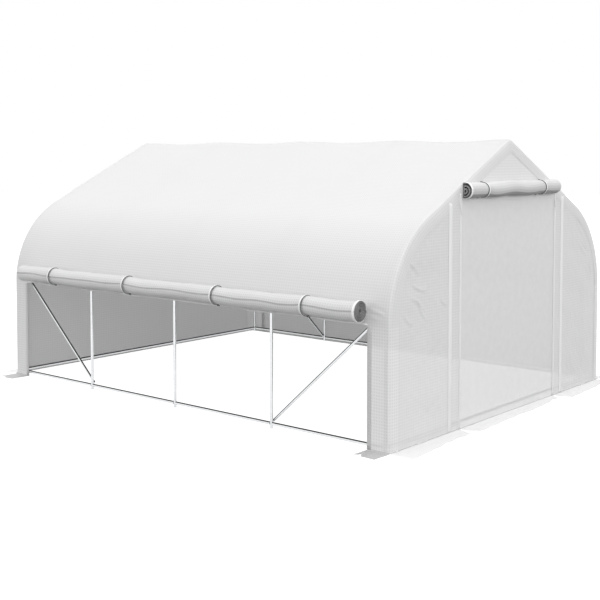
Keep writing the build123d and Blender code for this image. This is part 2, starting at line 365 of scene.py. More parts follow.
def make_galvanised_steel(name, dark_start, dark_full):
    """Zinc-galvanised tube: a bright cold grey mirror, a little clouded by its spangle.

    Its upper sides are darkened as a painted reflection: not where a side faces less upward than
    the first limit, fully beyond the second.
    """
    finish, tree = start_finish(name)
    spangle_size, spangle_share = 12 * MM, 0.5
    cloud_size = 96 * MM
    polish, clouding = 0.08, 0.1
    places = add_node(tree, "TexCoord")
    spangle = add_node(tree, "TexVoronoi", {"Scale": 1 / spangle_size},
                       {"Vector": places.outputs["Object"]}, feature="F1")
    cloud = add_node(tree, "TexNoise", {"Scale": 1 / cloud_size, "Detail": 3.0},
                     {"Vector": places.outputs["Object"]})
    blend = add_node(tree, "Math", {1: spangle_share},
                     {0: spangle.outputs["Distance"], 2: cloud.outputs["Fac"]},
                     operation="MULTIPLY_ADD")
    colour = add_node(tree, "ValToRGB", None, {"Fac": blend.outputs[0]},
                      [(0.3, "#DADCDE"), (1.0, "#E8EAEB")])
    # Painted reflection: the upper sides are darkened, giving a dark line along each rail and
    # brace.
    surface = add_node(tree, "NewGeometry")
    heights = add_node(tree, "SeparateXYZ", None, {"Vector": surface.outputs["Normal"]})
    painted_dark_tops = add_node(tree, "ValToRGB", None, {"Fac": heights.outputs["Z"]},
                    [(dark_start, "#FFFFFF"), (dark_full, "#383838")])
    dark_topped = add_node(tree, "Mix", {0: 1.0}, {6: colour.outputs["Color"], 7: painted_dark_tops.outputs["Color"]},
                      data_type="RGBA", blend_type="MULTIPLY")
    gloss = add_node(tree, "Math", {1: clouding, 2: polish}, {0: blend.outputs[0]},
                     operation="MULTIPLY_ADD")
    bump = add_node(tree, "Bump", {"Strength": 0.08, "Distance": 0.2 * MM},
                    {"Height": blend.outputs[0]})
    face = add_node(tree, "BsdfPrincipled", {"Metallic": 1.0},
                    {"Base Color": dark_topped.outputs[2], "Roughness": gloss.outputs[0],
                     "Normal": bump.outputs["Normal"]})
    add_node(tree, "OutputMaterial", None, {"Surface": face.outputs[0]})
    return finish


def make_polyester_tape(name, tones):
    """Woven polyester tape: a matt white with a tight cross rib."""
    finish, tree = start_finish(name)
    # The rib is about 1 mm, finer than the picture shows, so it is drawn at 5 mm.
    rib_pitch = 5 * MM
    places = add_node(tree, "UVMap", uv_map="cut")
    rib = add_node(tree, "TexWave", {"Scale": wave_scale(rib_pitch), "Distortion": 0.6},
                   {"Vector": places.outputs[0]}, wave_type="BANDS", bands_direction="X")
    finish_solid(tree, rib.outputs["Fac"], [(0.0, tones[0]), (1.0, tones[1])],
                 {"Strength": 0.4, "Distance": 0.4 * MM},
                 {"Roughness": 0.8, "IOR": 1.55, "Sheen Weight": 0.15})
    return finish


def make_polypropylene_webbing():
    """Woven polypropylene webbing: bright white with a slight gloss and a bold slanting rib."""
    finish, tree = start_finish("polypropylene_webbing")
    rib_pitch = 4 * MM
    places = add_node(tree, "UVMap", uv_map="cut")
    rib = add_node(tree, "TexWave", {"Scale": wave_scale(rib_pitch), "Distortion": 0.4},
                   {"Vector": places.outputs[0]}, wave_type="BANDS", bands_direction="DIAGONAL")
    finish_solid(tree, rib.outputs["Fac"], [(0.0, "#DEDEDD"), (1.0, "#F6F6F5")],
                 {"Strength": 0.5, "Distance": 0.5 * MM}, {"Roughness": 0.5, "IOR": 1.49})
    return finish


def make_moulded_nylon(name, tones):
    """Moulded nylon: an even tone with a fine sparked texture that breaks up its gloss."""
    finish, tree = start_finish(name)
    grit = 1.2 * MM
    places = add_node(tree, "TexCoord")
    grain = add_node(tree, "TexNoise", {"Scale": 1 / grit, "Detail": 2.0},
                     {"Vector": places.outputs["Object"]})
    finish_solid(tree, grain.outputs["Fac"], [(0.0, tones[0]), (1.0, tones[1])],
                 {"Strength": 0.3, "Distance": 0.2 * MM}, {"Roughness": 0.45, "IOR": 1.53})
    return finish


def make_wound_edge():
    """The edge of wound polythene, painted a dull mid grey as shade, for the light lost between the
    turns.
    """
    finish, tree = start_finish("edge_of_wound_polythene")
    fleck_size = 9 * MM
    places = add_node(tree, "TexCoord")
    flecks = add_node(tree, "TexNoise", {"Scale": 1 / fleck_size, "Detail": 3.0, "Roughness": 0.6},
                      {"Vector": places.outputs["Object"]})
    finish_solid(tree, flecks.outputs["Fac"], [(0.35, "#747474"), (0.75, "#9A9A9A")],
                 {"Strength": 0.4, "Distance": 1 * MM}, {"Roughness": 0.6, "IOR": 1.5})
    return finish


# Painted light and shade on the cover and the rolled films, by distance from the front or free
# edge, in metres
cover_painted_highlight = [(0.0, "#F7F7F7"), (0.065, "#F7F7F7"), (0.08, "#FBFBFB"), (0.1, "#FBFBFB"),
                (0.13, "#F8F8F8")]
curtain_painted_shading = [(0.0, "#C4C4C4"), (0.006, "#C4C4C4"), (0.009, "#F5F5F5"), (0.28, "#F5F5F5"),
                  (0.31, "#FFFFFF"), (0.46, "#FFFFFF"), (0.52, "#B0B0B0")]
door_painted_shading = [(0.0, "#A8A8A8"), (0.004, "#A8A8A8"), (0.007, "#CFCFCF"), (0.07, "#EBEBEB"),
               (0.12, "#FFFFFF"), (0.2, "#FFFFFF"), (0.24, "#A8A8A8")]

polythene = make_woven_polythene("woven_polythene_laminate", 0.935)
# The cover, with a painted highlight along the top of its front rim
cover_film = make_woven_polythene("woven_polythene_cover_laminate", 0.935, ("#E0E0E0", "#E7E7E7"),
                                  cover_painted_highlight)
gable_film = make_woven_polythene("woven_polythene_gable_laminate", 0.925)
doubled_film = make_woven_polythene("doubled_woven_polythene", 0.97, ("#C1C1C1", "#C6C6C6"))
# A lighter copy of the film for the corner strips: painted light, for the light on the open side
strip_film = make_woven_polythene("lightened_woven_polythene", 0.925, ("#DBDBDB", "#E6E6E6"))
# A lighter copy of the film for the gable top: painted light, for the light from above
top_film = make_woven_polythene("woven_polythene_top_laminate", 0.94, ("#DFDFDF", "#E6E6E6"))
# A darker copy of the film for the strips' hems: painted shade, for the shade in their curled edges
shaded_hem_film = make_woven_polythene("woven_polythene_hem_painted_shade", 0.97, ("#C8C8C8", "#CFCFCF"))
skirt_film = make_woven_polythene("thin_woven_polythene", 0.56)
# The rolled films carry painted shade and painted light from their tables
rolled_curtain = make_woven_polythene("rolled_curtain_polythene", 0.96, ("#D8D8D8", "#E4E4E4"),
                                      curtain_painted_shading)
# The door roll's brighter tones are painted light, for the light on its top
rolled_door = make_woven_polythene("rolled_door_polythene", 0.96, ("#E8E8E8", "#F2F2F2"),
                                   door_painted_shading)
door_net = make_polyester_net()
# Both steel finishes darken the tubes' upper sides as a painted reflection; the braces' finish
# darkens more of each side.
steel = make_galvanised_steel("galvanised_steel_tube", 0.3, 0.6)
brace_steel = make_galvanised_steel("galvanised_steel_tube_darker_tops", 0.04, 0.18)
tape = make_polyester_tape("woven_polyester_tape", ("#E6E6E6", "#F0F0F0"))
seam_tape = make_polyester_tape("woven_polyester_seam_tape", ("#DBDBDB", "#E5E5E5"))
strapping = make_polypropylene_webbing()
# Grey nylon for the pegs, and for the dark cords beside the straps that are painted shadows
grey_nylon = make_moulded_nylon("grey_moulded_nylon", ("#55585A", "#6C6F72"))
white_nylon = make_moulded_nylon("white_moulded_nylon", ("#D8D8D8", "#E6E6E6"))
wound_edge = make_wound_edge()


# Cover

slope_rows, eave_rows, wall_rows = 40, 80, 30


def half_arch(inset):
    """Down the right half of the arch, ridge to ground, as x, z and the way out of the film."""
    radius = eave_radius - inset
    slope_x = np.linspace(0, eave_centre + radius * pitch_sine, slope_rows, endpoint=False)
    fall = np.hypot(slope_x * pitch_tangent, ridge_ease)
    lean = slope_x * pitch_tangent ** 2 / fall
    steep = np.hypot(lean, 1)
    slope = [slope_x, ridge_height - inset / pitch_cosine - fall, lean / steep, 1 / steep]
    turn = np.linspace(math.pi / 2 - roof_pitch, 0, eave_rows, endpoint=False)
    eave = [eave_centre + radius * np.cos(turn), spring_height + radius * np.sin(turn),
            np.cos(turn), np.sin(turn)]
    wall_z = np.linspace(spring_height, 0, wall_rows + 1)
    upright = np.ones_like(wall_z)
    wall = [upright * (half_width - inset), wall_z, upright, 0 * upright]
    return np.concatenate([slope, eave, wall], axis=1)


def whole_arch(inset):
    """The arch from the ground on the left, over the ridge, to the ground on the right."""
    right = half_arch(inset)
    left = right[:, :0:-1] * np.array([[-1], [1], [-1], [1]])
    return np.concatenate([left, right], axis=1)


def bay_slack(y):
    """How free the film is: 0 over a hoop, 1 in the middle of a bay."""
    bay = np.clip(np.searchsorted(hoop_places, y), 1, hoop_count - 1)
    start, end = hoop_places[bay - 1], hoop_places[bay]
    share = np.clip((y - start) / (end - start), 0, 1)
    return (1 - np.cos(2 * math.pi * share)) / 2


def rim_columns():
    """The front rim, from its edge on the gable round to the roof: y and depth inside the arch."""
    band_rows, turn_rows = 4, 15
    band = np.linspace(rim_fall + rim_band, rim_fall, band_rows)[:-1]
    turn = np.linspace(math.pi / 2, 0, turn_rows)
    back = (rim_depth + rim_lift) * (1 - np.sin(turn))
    y = np.concatenate([0 * band, back]) - half_length - rim_lift
    inset = np.concatenate([band, rim_fall * (1 - np.cos(turn))])
    return y, inset


def hem_height(y):
    """Height of the eave's hem along an open side, drawn up a little between the strips."""
    draw_up, draw_run = 5 * MM, 100 * MM
    held = ease(strip_edge - np.abs(y), draw_run)
    return spring_height + held * (draw_up + draw_up * ripple(0.6, 12, y))


def make_cover():
    """One film over the whole tunnel, rolled over both end hoops and open along the long sides."""
    rim_y, rim_inset = rim_columns()
    inner_hoops = hoop_places[1:-1]
    front = even_steps([rim_y[-1], hoop_places[0], -strip_edge], fine_step)[1:]
    middle = even_steps([-strip_edge, *inner_hoops, strip_edge], grid_step)[1:-1]
    roof_y = np.concatenate([front, middle, -front[::-1]])
    y = np.concatenate([rim_y, roof_y, -rim_y[::-1]])
    inset = np.concatenate([rim_inset, 0 * roof_y, rim_inset[::-1]])
    arches = np.stack([whole_arch(depth) for depth in inset], axis=-1)
    x, z, out_x, out_z = arches
    along = run_length(np.stack(whole_arch(0)[:2], axis=-1))
    half_run = along[-1] / 2
    from_ridge = np.abs(along - half_run)[:, None]
    slope_run = (eave_centre + eave_radius * pitch_sine) / pitch_cosine
    wall_run = half_run - spring_height
    # The film dips most along the ridge, and hardly at all where the side rails hold it.
    dips = [(0, 15 * MM), (slope_run / 2, 7 * MM), (slope_run, 6 * MM), (slope_run + 0.35, 5 * MM),
            (wall_run - 0.15, 1.5 * MM), (half_run, 1.5 * MM)]
    slack = np.interp(from_ridge, *zip(*dips))
    free = bay_slack(y)[None, :]
    ruck_share = 0.08
    rucks = ruck_share * ripple(0.45, 11, along[:, None], y[None, :])
    # The strips' free edges curl in, and the film folds beside the front end of the tied roll.
    curl_depth, curl_width, curl_start = 3 * MM, 24 * MM, 50 * MM
    curl = (curl_depth * ease(spring_height - z, curl_start)
            * ease(strip_edge + curl_width - np.abs(y), curl_width) ** 2)
    folds = np.where(x < 0, sum(crease(y[None, :], z, *fold) for fold in cover_folds), 0)
    depth = free * slack * (1 + rucks) + curl - folds
    x, z = x - out_x * depth, z - out_z * depth
    opening = np.abs(y) < strip_edge
    for hem in (wall_rows, len(along) - 1 - wall_rows):
        z[hem, opening] = hem_height(y[opening])
    points = np.stack([x, np.broadcast_to(y, x.shape), z], axis=-1)
    across = run_length(np.stack([y, inset], axis=-1))
    cut = np.stack(np.broadcast_arrays(along[:, None], across[None, :]), axis=-1)
    open_side = np.abs(y[:-1] + y[1:]) / 2 < strip_edge
    roof = np.zeros((len(along) - 1, len(y) - 1), dtype=bool)
    roof[wall_rows:-wall_rows] = True
    cover = make_piece("tunnel_cover", cover_film, [film(points, cut, roof)])
    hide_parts("left_roof_slope", "right_roof_slope", "left_eave_curve", "right_eave_curve")
    strips = make_piece("corner_strips", strip_film, [film(points, cut, ~roof & ~open_side)])
    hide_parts("left_front_strip", "left_rear_strip", "right_front_strip",
                "right_rear_strip")


def make_hems():
    """The doubled hems along the open side: up both corner strips, darkened with painted shade, and
    along under the eave.
    """
    foot, head_gap, hem_step, proud = 4 * MM, 6 * MM, 40 * MM, 1 * MM
    edges = []
    for end in (-1, 1):
        z = even_steps([foot, spring_height - head_gap], hem_step)
        y = end * (strip_edge + strip_hem_width / 2)
        path = np.stack([np.full_like(z, -half_width - proud), np.full_like(z, y), z], axis=-1)
        edges.append(webbing(path, (-1.0, 0.0, 0.0), (0.0, 1.0, 0.0), strip_hem_width,
                             strip_hem_thickness))
    make_piece("corner_strip_hems", shaded_hem_film, edges)
    y = even_steps([-strip_edge, strip_edge], grid_step)
    z = hem_height(y) + eave_hem_rise
    path = np.stack([np.full_like(y, -half_width), y, z], axis=-1)
    edging = webbing(path, (-1.0, 0.0, 0.0), up, eave_hem_width, eave_hem_thickness)
    make_piece("left_eave_hem", tape, [edging])


# Gables

def gable_edge(x):
    """Height of a gable sheet's edge, tucked under the rim of the cover."""
    x = np.abs(x)
    radius = eave_radius - gable_tuck
    slope = ridge_height - gable_tuck / pitch_cosine - np.hypot(x * pitch_tangent, ridge_ease)
    reach = np.clip(x - eave_centre, 0, radius)
    return np.where(x > eave_centre + radius * pitch_sine,
                    spring_height + np.sqrt(radius ** 2 - reach ** 2), slope)


def gable_columns(start, step):
    """Places across one side of a gable, closing up towards the wall, where its edge is upright."""
    radius = eave_radius - gable_tuck
    turn_start = math.pi / 2 - roof_pitch
    turn = np.linspace(turn_start, 0, round(radius * turn_start / step) + 1)
    slope = even_steps([start, eave_centre + radius * pitch_sine], step)[:-1]
    return np.concatenate([slope, eave_centre + radius * np.cos(turn)])


def crease(x, z, start, end, bow, depth, width):
    """A soft fold along a bowed line: a ridge and a shallower valley, fading at their ends."""
    valley_share, valley_place, fading = 0.6, 1.8 * width, 0.8
    run_x, run_z = end[0] - start[0], end[1] - start[1]
    length = math.hypot(run_x, run_z)
    share = ((x - start[0]) * run_x + (z - start[1]) * run_z) / length ** 2
    inside = np.clip(share, 0, 1)
    aside = ((z - start[1]) * run_x - (x - start[0]) * run_z) / length
    aside = aside - 4 * bow * inside * (1 - inside)
    ridge = np.exp(-(aside / width) ** 2)
    valley = valley_share * np.exp(-((aside - valley_place) / width) ** 2)
    return depth * np.sin(math.pi * inside) ** fading * (ridge - valley)


def gable_sheet(x, foot, rows, end, depth):
    """A gable film over columns x, from its foot to the roof's edge, pushed out by a depth."""
    share = np.linspace(0, 1, rows)[:, None]
    top = gable_edge(x)[None, :]
    z = foot + (top - foot) * share
    x = np.broadcast_to(x, z.shape)
    y = end * (half_length - film_lift + depth(x, z))
    points = np.stack([x, y, z], axis=-1)
    return film(points if end < 0 else points[:, ::-1], np.stack([x, z], axis=-1))


# Folds beside the side roll's front end, as place along the tunnel and height, and folds in the
# two front panels, as distance out from the door and height: each has its start and end, then bow,
# depth and half width
cover_folds = [((-1.93, 0.870), (-1.79, 0.900), 8 * MM, 3.5 * MM, 10 * MM),
               ((-1.90, 0.845), (-1.80, 0.865), -5 * MM, 2.5 * MM, 10 * MM)]
left_folds = [((0.59, 1.06), (0.42, 1.00), 12 * MM, 4.5 * MM, 11 * MM),
              ((0.60, 0.97), (0.42, 0.86), -14 * MM, 4 * MM, 12 * MM),
              ((0.51, 0.95), (0.39, 0.79), 16 * MM, 4 * MM, 12 * MM),
              ((0.25, 0.93), (0.13, 0.86), 6 * MM, 3.5 * MM, 10 * MM),
              ((0.71, 0.90), (0.56, 0.78), 10 * MM, 2.8 * MM, 14 * MM),
              ((0.66, 1.22), (0.48, 1.10), -10 * MM, 2.8 * MM, 14 * MM)]
right_folds = [((0.36, 1.40), (0.52, 1.21), -12 * MM, 4.5 * MM, 12 * MM),
               ((0.42, 1.42), (0.60, 1.24), 10 * MM, 4 * MM, 12 * MM),
               ((0.43, 1.18), (0.60, 1.05), -10 * MM, 4 * MM, 13 * MM),
               ((0.05, 1.13), (0.17, 1.00), 6 * MM, 3.5 * MM, 10 * MM),
               ((0.52, 1.00), (0.66, 0.84), 12 * MM, 2.8 * MM, 14 * MM)]


def make_gable_panel(word, side, folds, seed):
    """The fixed film beside the door, with its packing folds and the base rail's mark in it."""
    rail_height, rail_mark_depth, rail_mark_width = 48 * MM, 3 * MM, 9 * MM
    door_ease, rim_ease, seam_ease = 80 * MM, 100 * MM, 40 * MM

    def depth(x, z):
        out = side * x - door_edge
        held = ease(out, door_ease) * ease(half_width - gable_tuck - side * x, rim_ease)
        held = held * ease(np.abs(out - seam_outset) - seam_width / 2, seam_ease)
        lumps = 1.2 * MM * ripple(0.22, seed, x, z) + 0.8 * MM * ripple(0.08, seed + 3, 1.6 * x, z)
        rail_mark = rail_mark_depth * np.exp(-((z - rail_height) / rail_mark_width) ** 2)
        return held * (lumps + rail_mark + sum(crease(out, z, *fold) for fold in folds))
    x = gable_columns(door_edge, fine_step)
    x = x if side > 0 else -x[::-1]
    rows = round(gable_edge(door_edge) / fine_step)
    panel = make_piece(f"front_{word}_gable_film", gable_film,
                       [gable_sheet(x, 0.0, rows, -1, depth)])
    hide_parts(f"front_gable_{word}_panel")


def make_gable_top():
    """The film between the door's head and the ridge."""
    def depth(x, z):
        return 1.0 * MM * ripple(0.3, 23, x, z)
    x = even_steps([-door_edge, 0.0, door_edge], grid_step)
    rows = round((ridge_height - door_head) / grid_step)
    # Its finish is a lighter copy of the film, as painted light.
    top = make_piece("front_top_gable_film", top_film,
                     [gable_sheet(x, door_head, rows, -1, depth)])
    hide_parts("front_gable_top_panel")


def make_rear_gable():
    """The plain film that closes the rear end, bellied a little by its own weight."""
    def depth(x, z):
        middle = ease(half_width - np.abs(x), 300 * MM) * ease(z, 200 * MM)
        return middle * (3 * MM * ripple(0.9, 31, x, z) + 1.0 * MM * ripple(0.25, 32, x, z))
    half = gable_columns(0.0, grid_step)
    x = np.concatenate([-half[:0:-1], half])
    rows = round(ridge_height / grid_step)
    rear = make_piece("rear_gable_film", polythene, [gable_sheet(x, 0.0, rows, 1, depth)])
    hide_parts("rear_gable_panel")


def make_door_net():
    """The net that closes the doorway while the door is rolled up."""
    head_lap, behind = 30 * MM, 1 * MM
    x = even_steps([-door_edge, door_edge], grid_step)[None, :]
    z = even_steps([0.0, door_head + head_lap], grid_step)[:, None]
    held = ease(door_edge - np.abs(x), 150 * MM)
    drape = 1.5 * MM * ripple(0.5, 41, x, 0.25 * z) + 0.4 * MM * ripple(0.2, 42, x, 0.4 * z)
    drape = held * drape
    x, z = np.broadcast_arrays(x, z)
    points = np.stack([x, -(half_length - film_lift - behind + drape), z], axis=-1)
    net = make_piece("door_net", door_net, [film(points, np.stack([x, z], axis=-1))])
    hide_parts("door_screen")


# Curtain on the closed side

def make_right_curtain():
    """The right side's curtain, let down over the corner strips and lapped under the eave's hem."""
    reach, top = curtain_high.y, curtain_high.z
    y = even_steps([-reach, reach], grid_step)[None, :]
    z = even_steps([0.0, top], grid_step)[:, None]
    held = ease(top - z, 100 * MM) * ease(reach - np.abs(y), 80 * MM)
    drape = held * (bay_slack(y) * 2 * MM + 2.5 * MM * ripple(0.5, 51, y, 0.35 * z))
    y, z = np.broadcast_arrays(y, z)
    wall = (curtain_low.x + curtain_high.x) / 2
    rise = np.clip(z - spring_height, 0, None)
    follow = half_width - eave_centre - np.sqrt(eave_radius ** 2 - rise ** 2)
    points = np.stack([wall - follow + np.clip(drape, -1 * MM, None), y, z], axis=-1)
    curtain = make_piece("right_curtain_film", polythene,
                         [film(points[:, ::-1], np.stack([y, z], axis=-1))])
    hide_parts("right_side_curtain")


# Rolls

def way_out(turn, out):
    """The way out of a roll at each turn, which starts straight out and goes up over the top."""
    return np.cos(turn)[:, None] * np.array(out) + np.sin(turn)[:, None] * up


def on_roll(centre, axis, out, along, outward, lift):
    """Points on a roll: how far along its axis, out from its middle and above its middle."""
    return (np.array(centre) + np.asarray(along)[..., None] * np.array(axis)
            + outward[..., None] * np.array(out) + lift[..., None] * up)


def end_round(along, reach, length):
    """How much thinner a roll gets where its far end is rounded off over a length."""
    depth, fullness = 22 * MM, 0.97
    share = ease(along - reach + length, length)
    return depth * (1 - np.sqrt(1 - fullness * share ** 2))


def rolled_film(centre, axis, out, reach, radius, core, turns, edge_turn, bend, seat):
    """A film wound into a roll: its free edge lies outside at edge_turn, its inner end at the core.

    bend(along, turn) gives the roll's change in radius and how far its middle is lifted. The roll
    is pressed flat at the seat, a distance behind its middle.
    """
    ply, pressed_ply = 2.2 * MM, 1.2 * MM
    edge_turns, edge_steps, turn_steps = 0.1, 10, 40
    edge_curl, curl_turns, edge_waver = 1.5 * MM, 0.05, 0.05
    along = even_steps([-reach, reach], roll_step)[:, None]
    wound = np.concatenate([np.linspace(0, edge_turns, edge_steps)[:-1],
                            np.linspace(edge_turns, turns, round(turns * turn_steps))])[None, :]
    girth = np.where(wound < 1, radius - ply * wound,
                     core + (radius - ply - core) * (turns - wound) / (turns - 1))
    girth = girth + edge_curl * ease(curl_turns - wound, curl_turns) ** 2
    angle = 2 * math.pi * wound + edge_turn + edge_waver * ripple(0.5, 63, along)
    swell, lift = bend(along, angle)
    girth = girth * (1 + swell / radius)
    outward = np.maximum(girth * np.cos(angle), pressed_ply * wound - seat)
    points = on_roll(centre, axis, out, along, outward, lift + girth * np.sin(angle))
    spiral = run_length(np.stack([outward[0], girth[0] * np.sin(angle[0])], axis=-1))
    cut = np.stack(np.broadcast_arrays(along, spiral[None, :]), axis=-1)
    return film(points, cut), float(spiral[-1])


def roll_hem(centre, axis, out, at, radius, bend, seat):
    """The doubled hem round one end of a roll, as a band that stands a little proud."""
    hem_steps, proud = 73, 1 * MM
    turn = np.linspace(0, 2 * math.pi, hem_steps)
    swell, lift = bend(np.full_like(turn, at), turn)
    girth = radius + swell + proud
    outward = np.maximum(girth * np.cos(turn), -seat)
    path = on_roll(centre, axis, out, at, outward, lift + girth * np.sin(turn))
    return webbing(path, way_out(turn, out), axis, roll_hem_width, roll_hem_thickness)


def roll_edge(centre, axis, out, at, radius, core, turns, seat):
    """The wound edge at one end of a roll, as one thick winding with a groove between its turns."""
    edge_width, filled, start_turn, turn_steps = 12 * MM, 0.6, 0.5, 30
    pitch = (radius - core) / turns
    wound = np.linspace(start_turn, turns, round(turns * turn_steps))
    angle = 2 * math.pi * wound
    girth = radius - pitch * wound
    outward = np.maximum(girth * np.cos(angle), -seat * girth / radius)
    path = on_roll(centre, axis, out, at, outward, girth * np.sin(angle))
    return webbing(path, way_out(angle, out), axis, edge_width, filled * pitch)


def pinch(along, places, width):
    """1 at each strap, falling to 0 away from it."""
    return sum(np.exp(-((along - place) / width) ** 2) for place in places)


cad_strap_width = 20 * MM
door_strap_places = [door_strap_low.x + cad_strap_width / 2,
                     door_strap_high.x - cad_strap_width / 2]
side_roll_centre = (side_roll_low + side_roll_high) / 2
side_roll_radius = (side_roll_high.z - side_roll_low.z) / 2
door_roll_radius = (door_roll_high.z - door_roll_low.z) / 2
door_roll_centre = Vector((0.0, door_roll_low.y + door_roll_radius,
                           (door_roll_low.z + door_roll_high.z) / 2))
door_roll_seat = door_roll_high.y - door_roll_centre.y


def make_side_roll():
    """The left curtain, rolled up and tied under the eave."""
    reach = side_roll_high.y - side_roll_centre.y
    radius = side_roll_radius - 1.5 * MM
    axis, out = (0.0, 1.0, 0.0), (-1.0, 0.0, 0.0)
    edge_turn = math.radians(5)

    def bend(along, angle):
        ties = pinch(along, side_strap_places, 45 * MM)
        lumps = ripple(0.25, 61, along, 0.1 * np.cos(angle), 0.1 * np.sin(angle))
        slim = np.exp(-((along + 0.05) / 0.35) ** 2)
        near_end = ease(along + reach, 150 * MM)
        flare = 3 * MM * ease(roll_hem_width + 10 * MM - reach - along, 20 * MM)
        swell = 1.6 * MM * lumps * near_end - 2.0 * MM * ties - 5 * MM * slim + flare
        swell = swell - end_round(along, reach, 22 * MM)
        sag = -2.5 * MM * (1 - ties) * near_end + 3 * MM * slim + 1.5 * MM * ripple(0.7, 62, along)
        lift = sag + 4 * MM * (1 - near_end)
        return swell, lift + 0 * angle
    shape, length = rolled_film(side_roll_centre, axis, out, reach, radius, roll_core, roll_turns,
                                edge_turn, bend, side_roll_radius)
    hem = roll_hem(side_roll_centre, axis, out, roll_hem_width / 2 - reach, radius, bend,
                   side_roll_radius)
    end_centre = side_roll_centre + Vector((0.0, 0.0, float(bend(np.array(-reach), 0.0)[1])))
    end = roll_edge(end_centre, axis, out, roll_end_depth - reach, radius=radius + 5 * MM,
                    core=10 * MM, turns=6, seat=side_roll_radius + 5 * MM)
    make_piece("side_roll_end", wound_edge, [end])
    make_piece("side_roll_binding", tape, [hem])
    roll = make_piece("side_curtain_rolled", rolled_curtain, [shape])
    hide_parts("side_curtain_roll")


def make_door_roll():
    """The door, rolled up, tied in front of the gable and pressed flat against it."""
    reach = (door_roll_high.x - door_roll_low.x) / 2
    radius = door_roll_radius - 2 * MM
    axis, out = (1.0, 0.0, 0.0), (0.0, -1.0, 0.0)
    edge_turn = math.radians(-35)

    def bend(along, angle):
        ties = pinch(along, door_strap_places, 40 * MM)
        between = ease(door_strap_places[1] - np.abs(along), 100 * MM)
        lumps = ripple(0.2, 71, along, 0.1 * np.cos(angle), 0.1 * np.sin(angle))
        near_end = ease(along + reach, 100 * MM)
        swell = (0.8 + 2.2 * between) * MM * lumps * near_end - 5.0 * MM * ties
        swell = swell - end_round(along, reach, 24 * MM)
        sag = 2.5 * MM * ripple(0.55, 72, along) * between
        return swell, sag + 0 * angle
    shape, length = rolled_film(door_roll_centre, axis, out, reach, radius, roll_core, roll_turns,
                                edge_turn, bend, door_roll_seat)
    hem = roll_hem(door_roll_centre, axis, out, roll_hem_width / 2 - reach, radius, bend,
                   door_roll_seat)
    end = roll_edge(door_roll_centre, axis, out, roll_end_depth - reach, radius=radius + 2 * MM,
                    core=5 * MM, turns=2.5, seat=door_roll_seat)
    make_piece("door_roll_end", wound_edge, [end])
    make_piece("door_roll_binding", tape, [hem])
    roll = make_piece("door_rolled", rolled_door, [shape])
    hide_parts("door_roll")


def strap_loop(centre, out, across, radius, mouth, stand_off, width, thickness):
    """A strap sewn to the film above a roll, going over it, down its front and back below."""
    strap_steps, gap = 60, 1.5 * MM
    turn = np.radians(np.linspace(180 - mouth, -180 + mouth, strap_steps))
    slack = gap + stand_off * np.cos(turn / 2) ** 4
    facing = way_out(turn, out)
    path = np.array(centre) + facing * (radius + slack)[:, None]
    return webbing(path, facing, across, width, thickness)


def toggle(place, axis):
    """A waisted peg that the strap's loop hooks over."""
    length, radius = 30 * MM, 5 * MM
    shares = [(0, 0.35), (0.04, 0.75), (0.12, 1.0), (0.35, 0.95), (0.46, 0.7), (0.54, 0.7),
              (0.65, 0.95), (0.88, 1.0), (0.96, 0.75), (1, 0.35)]
    profile = [((share - 0.5) * length, radius * fullness) for share, fullness in shares]
    return turned(profile, place, axis)


def make_ties(word, places, loop, pegs):
    """The straps round one roll, each with a dark cord along one edge as a painted shadow, and its
    pegs.
    """
    aside = (strap_width + shadow_cord_width) / 2
    loops, shadow_cords_and_pegs = [], []
    for place in places:
        loops.append(loop(place, strap_width, strap_thickness))
        # Painted shadow: a dark cord along the strap's edge, where the loop stands off the roll.
        shadow_cords_and_pegs.append(loop(place - aside, shadow_cord_width, shadow_cord_thickness))
        shadow_cords_and_pegs.extend(toggle(*peg) for peg in pegs(place))
    straps = make_piece(f"{word}_straps", strapping, loops)
    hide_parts(f"{word}_roll_straps")
    make_piece(f"{word}_strap_shadow_cords_and_pegs", grey_nylon, shadow_cords_and_pegs)


def make_straps():
    """The loops that tie both rolls: white webbing, with a dark cord beside each loop as a painted
    shadow under it.

    Each cord ends in a peg below the roll, and a door strap has a second peg on top of it.
    """
    side_mouth, side_grip, side_stand_off = 28, 1.5 * MM, 5.5 * MM
    door_grip, door_stand_off = 6 * MM, 1 * MM
    door_mouth = math.degrees(math.acos(door_roll_seat / (door_roll_radius + strap_thickness)))

    def side_loop(y, width, thickness):
        return strap_loop((side_roll_centre.x, y, side_roll_centre.z), (-1, 0, 0), (0, 1, 0),
                          side_roll_radius - side_grip, side_mouth, side_stand_off, width,
                          thickness)

    def side_pegs(y):
        below = (side_roll_centre.x - 8 * MM, y - 28 * MM, side_roll_low.z - 4 * MM)
        return [(below, (0.2, 1, 0))]

    def door_loop(x, width, thickness):
        return strap_loop((x, *door_roll_centre[1:]), (0, -1, 0), (1, 0, 0),
                          door_roll_radius - door_grip, door_mouth, door_stand_off, width,
                          thickness)

    def door_pegs(x):
        below = (x - 45 * MM, door_roll_centre.y + 22 * MM, door_roll_low.z + 2 * MM)
        on_top = (x - 30 * MM, door_roll_centre.y, door_roll_high.z - 2 * MM)
        return [(below, (1, 0.2, 0)), (on_top, (1, 0.2, 0))]
    make_ties("side", side_strap_places, side_loop, side_pegs)
    make_ties("door", door_strap_places, door_loop, door_pegs)


# Zips and seams

def rim_recess(x, z):
    """How far behind the gable's face the rounded rim lies at a place, 0 well below the rim."""
    lift_run = 60 * MM
    inset = (float(gable_edge(x)) - z) * pitch_cosine + gable_tuck
    past = np.clip(1 - inset / rim_fall, 0, 1)
    edge = rim_fall + rim_band
    lift = np.interp(inset, [edge, edge + lift_run], [rim_lift, 0])
    return (rim_depth + rim_lift) * (1 - np.sqrt(1 - past ** 2)) - lift


